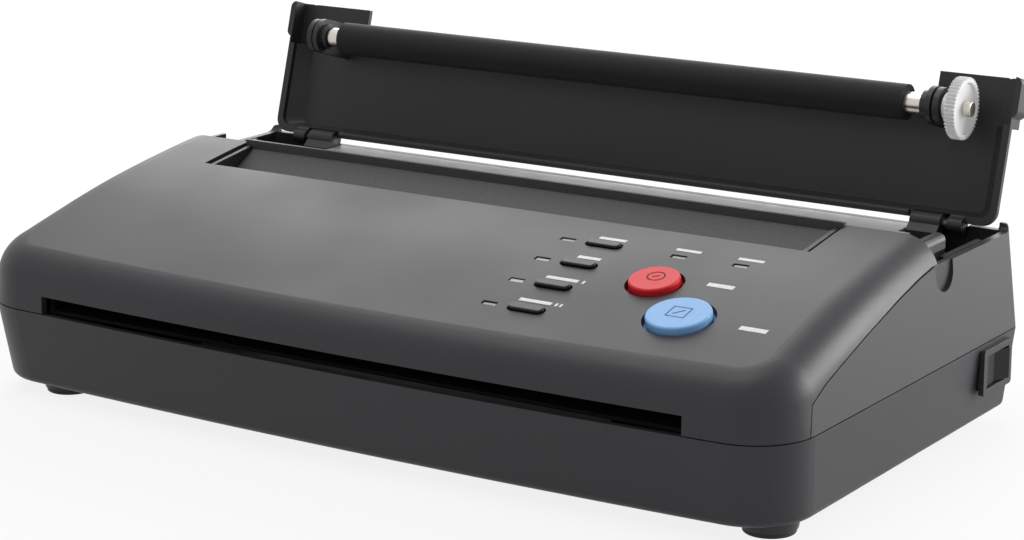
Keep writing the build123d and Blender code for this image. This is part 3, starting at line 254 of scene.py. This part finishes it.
FINISHES = {
    "housing_plastic": moulded_plastic(
        "charcoal_housing", (0.030, 0.0292, 0.0325), 0.38, grain=0.55, depth=0.012, wear=1.3,
        edge=0.12, Specular_IOR_Level=0.3),
    "black_plastic": moulded_plastic(
        "black_frame", (0.022, 0.022, 0.023), 0.38, grain=0.5, depth=0.01,
        Specular_IOR_Level=0.3),
    "tray_plastic": speckled_plastic("speckled_tray", (0.05, 0.05, 0.052), 0.5),
    "gloss_black": moulded_plastic(
        "gloss_black", (0.007, 0.007, 0.0075), 0.22, grain=0.8, depth=0.002, wear=2.2, edge=0.2,
        Specular_IOR_Level=0.2),
    "blue_plastic": moulded_plastic(
        "blue_button", (0.24, 0.47, 0.82), 0.34, grain=0.7, depth=0.003, wear=1.12, edge=0.25,
        Specular_IOR_Level=0.2),
    "red_plastic": moulded_plastic(
        "red_button", (0.70, 0.02, 0.028), 0.34, grain=0.7, depth=0.003, wear=1.12, edge=0.25,
        Specular_IOR_Level=0.2),
    "white_plastic": moulded_plastic(
        "white_acetal", (0.84, 0.84, 0.825), 0.34, grain=0.6, depth=0.003, wear=1.05, edge=0.12,
        Subsurface_Weight=0.15, Subsurface_Scale=0.001),
    "lens_plastic": lamp_lens(),
    "black_rubber": ground_rubber("roller_rubber", (0.012, 0.012, 0.0125), 0.6),
    "foot_rubber": moulded_plastic(
        "foot_rubber", (0.016, 0.016, 0.016), 0.7, grain=0.5, depth=0.02, wear=1.5),
    "steel": turned_metal("ground_steel", (0.60, 0.57, 0.51), 0.18, lines=(1, 0.06, 0.06)),
    "zinc_sheet": zinc_sheet("zinc_sheet"),
    "spring_steel": turned_metal(
        "spring_steel", (0.42, 0.42, 0.43), 0.25, lines=(0.4, 0.4, 0.4)),
    "aluminium": turned_metal(
        "extruded_aluminium", (0.50, 0.51, 0.52), 0.42, lines=(0.03, 1, 1), depth=0.01),
    "ceramic_strip": glazed_ceramic(),
    "glass_strip": clear_glass(),
    "brass": turned_metal("bright_brass", (0.76, 0.56, 0.26), 0.2, lines=(1, 0.1, 0.1)),
    "board_green": green_board(),
    "chip_black": moulded_plastic(
        "moulded_chips", (0.02, 0.02, 0.021), 0.45, grain=0.3, depth=0.01, wear=1.5, edge=0.1),
    "connector_white": moulded_plastic(
        "connector_nylon", (0.68, 0.66, 0.60), 0.42, grain=0.5, depth=0.008, wear=1.1, edge=0.1),
}
# Nodes that the photo shows darker than the others of their slot.
OWN_FINISHES = {
    "hinge_pins": turned_metal(
        "blackened_pins", (0.09, 0.09, 0.095), 0.4, lines=(1, 0.06, 0.06)),
    "power_rocker": moulded_plastic(
        "rocker_black", (0.008, 0.008, 0.0085), 0.3, grain=0.8, depth=0.002, wear=2.0, edge=0.2,
        Specular_IOR_Level=0.12),
    # The paper guides are darker than black_plastic: their near-black colour and low specular
    # level are painted shade of the slot they sit in.
    "paper_guides": moulded_plastic(
        "guide_black_painted_shade", (0.006, 0.006, 0.0065), 0.55, grain=0.6, depth=0.01, wear=1.5, edge=0.2,
        Specular_IOR_Level=0.08),
}
for subpart in frame["record"]["subparts"]:
    finish = OWN_FINISHES.get(subpart["node"], FINISHES[subpart["material_slot"]])
    for slot in nodes[subpart["node"]].material_slots:
        slot.material = finish

WHITE_INK = printed_ink("white_ink", (0.86, 0.86, 0.86))
RED_LINE = printed_ink("engraved_red", (0.13, 0.008, 0.01), Specular_IOR_Level=0.1)
BLUE_LINE = printed_ink("engraved_blue", (0.03, 0.065, 0.14), Specular_IOR_Level=0.1)
HEATER_LINE = printed_ink("heater_line", (0.16, 0.14, 0.12))
EPOXY = moulded_plastic(
    "potting_epoxy", (0.018, 0.018, 0.02), 0.2, grain=1.5, depth=0.02, wear=1.3, edge=0.1)


# ---- the control panel's printed marks ----
# The marks are drawn in this plane: x runs along the cover and y up its slope.
PANEL_LEAN = math.radians(13.63)
PANEL_MIDDLE = Vector((0, -43.911, 58.2)) * MM
PANEL = Matrix.Translation(PANEL_MIDDLE) @ Matrix.Rotation(PANEL_LEAN, 4, "X")
PANEL_UP = PANEL.to_3x3() @ Vector((0, 0, 1))
DROP = 20  # millimetres over the panel from which a mark is dropped onto a node
INK_GAP = 0.01  # millimetres between a mark and the face under it


def finish_piece(name, shape, material, body):
    """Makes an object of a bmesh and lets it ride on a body."""
    bmesh.ops.recalc_face_normals(shape, faces=shape.faces)
    mesh = bpy.data.meshes.new(name)
    shape.to_mesh(mesh)
    shape.free()
    piece = bpy.data.objects.new(name, mesh)
    bpy.context.scene.collection.objects.link(piece)
    mesh.materials.append(material)
    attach(piece, body)


def laid_on(shape, node, thickness):
    """Drops a flat sheet, drawn in panel millimetres, onto a node and gives it a thickness."""
    under = nodes[node]
    for vert in shape.verts:
        start = PANEL @ (Vector((vert.co.x, vert.co.y, DROP)) * MM)
        hit, place, _, _ = under.ray_cast(start, -PANEL_UP)
        if not hit:
            raise RuntimeError(f"a mark misses {node}")
        vert.co = place + PANEL_UP * INK_GAP * MM
    raised = bmesh.ops.extrude_face_region(shape, geom=shape.faces[:], use_keep_orig=True)
    tops = [part for part in raised["geom"] if isinstance(part, bmesh.types.BMVert)]
    bmesh.ops.translate(shape, verts=tops, vec=PANEL_UP * thickness * MM)


def bar(x, y, length, width, turn=0):
    """A flat bar drawn in panel millimetres, fine enough to follow the cover."""
    shape = bmesh.new()
    spot = Matrix.Translation((x, y, 0)) @ Matrix.Rotation(math.radians(turn), 4, "Z")
    spot @= Matrix.Diagonal((length / 2, width / 2, 1, 1))
    bmesh.ops.create_grid(shape, x_segments=max(2, round(length)), y_segments=2, size=1,
                          matrix=spot)
    return shape


def outline_mark(x, y, size, width, sides, turn):
    """A ring or square line drawn in panel millimetres."""
    shape = bmesh.new()
    spot = Matrix.Translation((x, y, 0)) @ Matrix.Rotation(math.radians(turn), 4, "Z")
    bmesh.ops.create_circle(shape, segments=sides, radius=size, matrix=spot)
    outer = shape.edges[:]
    inner = bmesh.ops.extrude_edge_only(shape, edges=outer)
    verts = [part for part in inner["geom"] if isinstance(part, bmesh.types.BMVert)]
    bmesh.ops.scale(shape, verts=verts, vec=[1 - width / size] * 3,
                    space=Matrix.Translation((-x, -y, 0)))
    return shape


# Each printed bar's name, its middle along and up the panel, its length and its width.
LABEL_BARS = [
    ("mode_bar_1", 54.6, 26.8, 9.6, 1.7), ("mode_bar_2", 54.9, 12.2, 8.0, 1.7),
    ("mode_bar_3", 54.4, -2.8, 11.2, 1.7), ("mode_bar_4", 54.2, -17.7, 11.2, 1.7),
    ("state_bar_1", 81.4, 26.7, 8.6, 1.6), ("state_bar_2", 102.8, 26.7, 8.6, 1.6),
    ("stop_bar", 102.9, 7.6, 8.8, 2.2), ("copy_bar", 125.0, -13.6, 8.8, 2.2),
    ("level_tick_1", 61.9, -2.8, 0.8, 1.7), ("level_tick_2", 61.5, -17.7, 0.8, 1.7),
    ("level_tick_3", 63.1, -17.7, 0.8, 1.7),
]
PRINT_THICKNESS = 0.05
for name, x, y, length, width in LABEL_BARS:
    shape = bar(x, y, length, width)
    laid_on(shape, "front_cover", PRINT_THICKNESS)
    finish_piece(name, shape, WHITE_INK, "chassis")

STOP_AT = (82.9, 4.6)
COPY_AT = (100.8, -13.4)
LINE = 0.5  # the button marks' line width
LINE_THICKNESS = 0.03
stop_ring = outline_mark(*STOP_AT, 2.9, LINE, 32, 0)
stop_dash = bar(*STOP_AT, 2.4, LINE, 35)
copy_square = outline_mark(*COPY_AT, 4.4, LINE, 4, 45)
copy_dash = bar(*COPY_AT, 4.0, LINE, 45)
BUTTON_MARKS = [
    ("stop_ring", stop_ring, RED_LINE, "stop_button", "red_plastic"),
    ("stop_dash", stop_dash, RED_LINE, "stop_button", "red_plastic"),
    ("copy_square", copy_square, BLUE_LINE, "copy_button", "blue_plastic"),
    ("copy_dash", copy_dash, BLUE_LINE, "copy_button", "blue_plastic"),
]
for name, shape, ink, button, slot in BUTTON_MARKS:
    laid_on(shape, button, LINE_THICKNESS)
    finish_piece(name, shape, ink, button)


# ---- the print head's glaze, heater line and potted chips ----
def bead(low, high, bevel):
    """A long bead between two corners in millimetres, its top edges rounded."""
    shape = bmesh.new()
    middle = Vector([(a + b) / 2 * MM for a, b in zip(low, high)])
    size = [(b - a) * MM for a, b in zip(low, high)]
    bmesh.ops.create_cube(shape, matrix=Matrix.Translation(middle) @ Matrix.Diagonal((*size, 1)))
    top = [e for e in shape.edges if min(v.co.z for v in e.verts) > middle.z]
    bmesh.ops.bevel(shape, geom=top, offset=bevel * MM, offset_type="OFFSET", segments=4,
                    profile=0.5, affect="EDGES", material=-1)
    return shape


# Each bead's gap to the strip's ends, its half or full width, and its height, in millimetres.
GLAZE_END, GLAZE_HALF, GLAZE_RISE = 0.5, 0.9, 0.16
HEATER_END, HEATER_HALF, HEATER_RISE = 3, 0.15, 0.02
CHIPS_END, CHIPS_WIDTH, CHIPS_RISE = 4, 2.1, 0.5
CHIPS_REAR = 0.5  # from the chips to the strip's rear edge
strip_low, strip_high = (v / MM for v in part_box("heater_strip"))
top, middle_y = strip_high.z, (strip_low.y + strip_high.y) / 2
glaze_top = top + GLAZE_RISE
chips_back = strip_high.y - CHIPS_REAR
finish_piece("glaze_bead",
             bead((strip_low.x + GLAZE_END, middle_y - GLAZE_HALF, top),
                  (strip_high.x - GLAZE_END, middle_y + GLAZE_HALF, glaze_top), bevel=0.14),
             FINISHES["ceramic_strip"], "print_head")
finish_piece("heater_line",
             bead((strip_low.x + HEATER_END, middle_y - HEATER_HALF, glaze_top),
                  (strip_high.x - HEATER_END, middle_y + HEATER_HALF, glaze_top + HEATER_RISE),
                  bevel=0.01),
             HEATER_LINE, "print_head")
finish_piece("potted_chips",
             bead((strip_low.x + CHIPS_END, chips_back - CHIPS_WIDTH, top),
                  (strip_high.x - CHIPS_END, chips_back, top + CHIPS_RISE), bevel=0.4),
             EPOXY, "print_head")


# ---- floor, light and camera ----
def white_where_seen(tree, output, source, white_kind, share):
    """Mixes plain white into a shader for rays from the camera, mirrors and glass."""
    path = tree.nodes.new("ShaderNodeLightPath")
    seen = None
    for ray in ("Is Camera Ray", "Is Glossy Ray", "Is Transmission Ray"):
        if seen is None:
            seen = path.outputs[ray]
            continue
        larger = tree.nodes.new("ShaderNodeMath")
        larger.operation = "MAXIMUM"
        tree.links.new(seen, larger.inputs[0])
        tree.links.new(path.outputs[ray], larger.inputs[1])
        seen = larger.outputs[0]
    scaled = tree.nodes.new("ShaderNodeMath")
    scaled.operation = "MULTIPLY"
    scaled.inputs[1].default_value = share
    tree.links.new(seen, scaled.inputs[0])
    white = tree.nodes.new(white_kind)
    white.inputs["Color"].default_value = (1, 1, 1, 1)
    mix = tree.nodes.new("ShaderNodeMixShader")
    tree.links.new(scaled.outputs[0], mix.inputs[0])
    tree.links.new(source, mix.inputs[1])
    tree.links.new(white.outputs[0], mix.inputs[2])
    tree.links.new(mix.outputs[0], tree.nodes[output].inputs["Surface"])


world = bpy.data.worlds.new("studio")
bpy.context.scene.world = world
world.use_nodes = True
soft = world.node_tree.nodes["Background"]
soft.inputs["Color"].default_value = (0.95, 0.97, 1.0, 1)
soft.inputs["Strength"].default_value = 0.35
white_where_seen(world.node_tree, "World Output", soft.outputs[0], "ShaderNodeBackground", 1)

FLOOR_HALF = 3.0  # metres
FLOOR_WHITE = 0.85  # the share of plain white in the floor where the camera sees it
floor_shape = bmesh.new()
bmesh.ops.create_grid(floor_shape, x_segments=1, y_segments=1, size=FLOOR_HALF)
floor_mesh = bpy.data.meshes.new("floor")
floor_shape.to_mesh(floor_mesh)
floor_shape.free()
floor = bpy.data.objects.new("floor", floor_mesh)
bpy.context.scene.collection.objects.link(floor)
paper = bpy.data.materials.new("white_floor")
paper.use_nodes = True
floor_mesh.materials.append(paper)
pale = paper.node_tree.nodes["Principled BSDF"]
pale.inputs["Base Color"].default_value = (0.85, 0.85, 0.85, 1)
pale.inputs["Roughness"].default_value = 0.8
white_where_seen(paper.node_tree, "Material Output", pale.outputs[0], "ShaderNodeEmission",
                 FLOOR_WHITE)


def soft_lamp(name, place, target, size, power):
    """A round area lamp; place, target and size are in metres, power in watts."""
    light = bpy.data.lights.new(name, "AREA")
    light.shape = "DISK"
    light.size = size
    light.energy = power
    lamp = bpy.data.objects.new(name, light)
    lamp.location = place
    lamp.rotation_euler = (Vector(target) - Vector(place)).to_track_quat("-Z", "Y").to_euler()
    bpy.context.scene.collection.objects.link(lamp)


soft_lamp("top", (-0.3, -0.1, 1.5), (0, 0, 0.05), size=1.0, power=9)
soft_lamp("back_left", (-0.6, 1.05, 0.6), (0, 0, 0.05), size=1.2, power=10)
soft_lamp("right", (1.05, 1.2, 0.3), (0.1, 0, 0.04), size=1.3, power=34)

# The camera was worked out from the straight edges in the photo.
LENS, SENSOR = 99.56, 36.0
CAMERA_AT = (0.49192, -0.740721, 0.26734)
CAMERA_DOWN, CAMERA_ROUND = 14.168, 33.274  # degrees
view = bpy.data.cameras.new("camera")
view.lens = LENS
view.sensor_width = SENSOR
view.sensor_fit = "HORIZONTAL"
camera = bpy.data.objects.new("camera", view)
camera.location = CAMERA_AT
camera.rotation_euler = (math.radians(90 - CAMERA_DOWN), 0, math.radians(CAMERA_ROUND))
bpy.context.scene.collection.objects.link(camera)
bpy.context.scene.camera = camera
bpy.context.scene.view_settings.view_transform = "Standard"
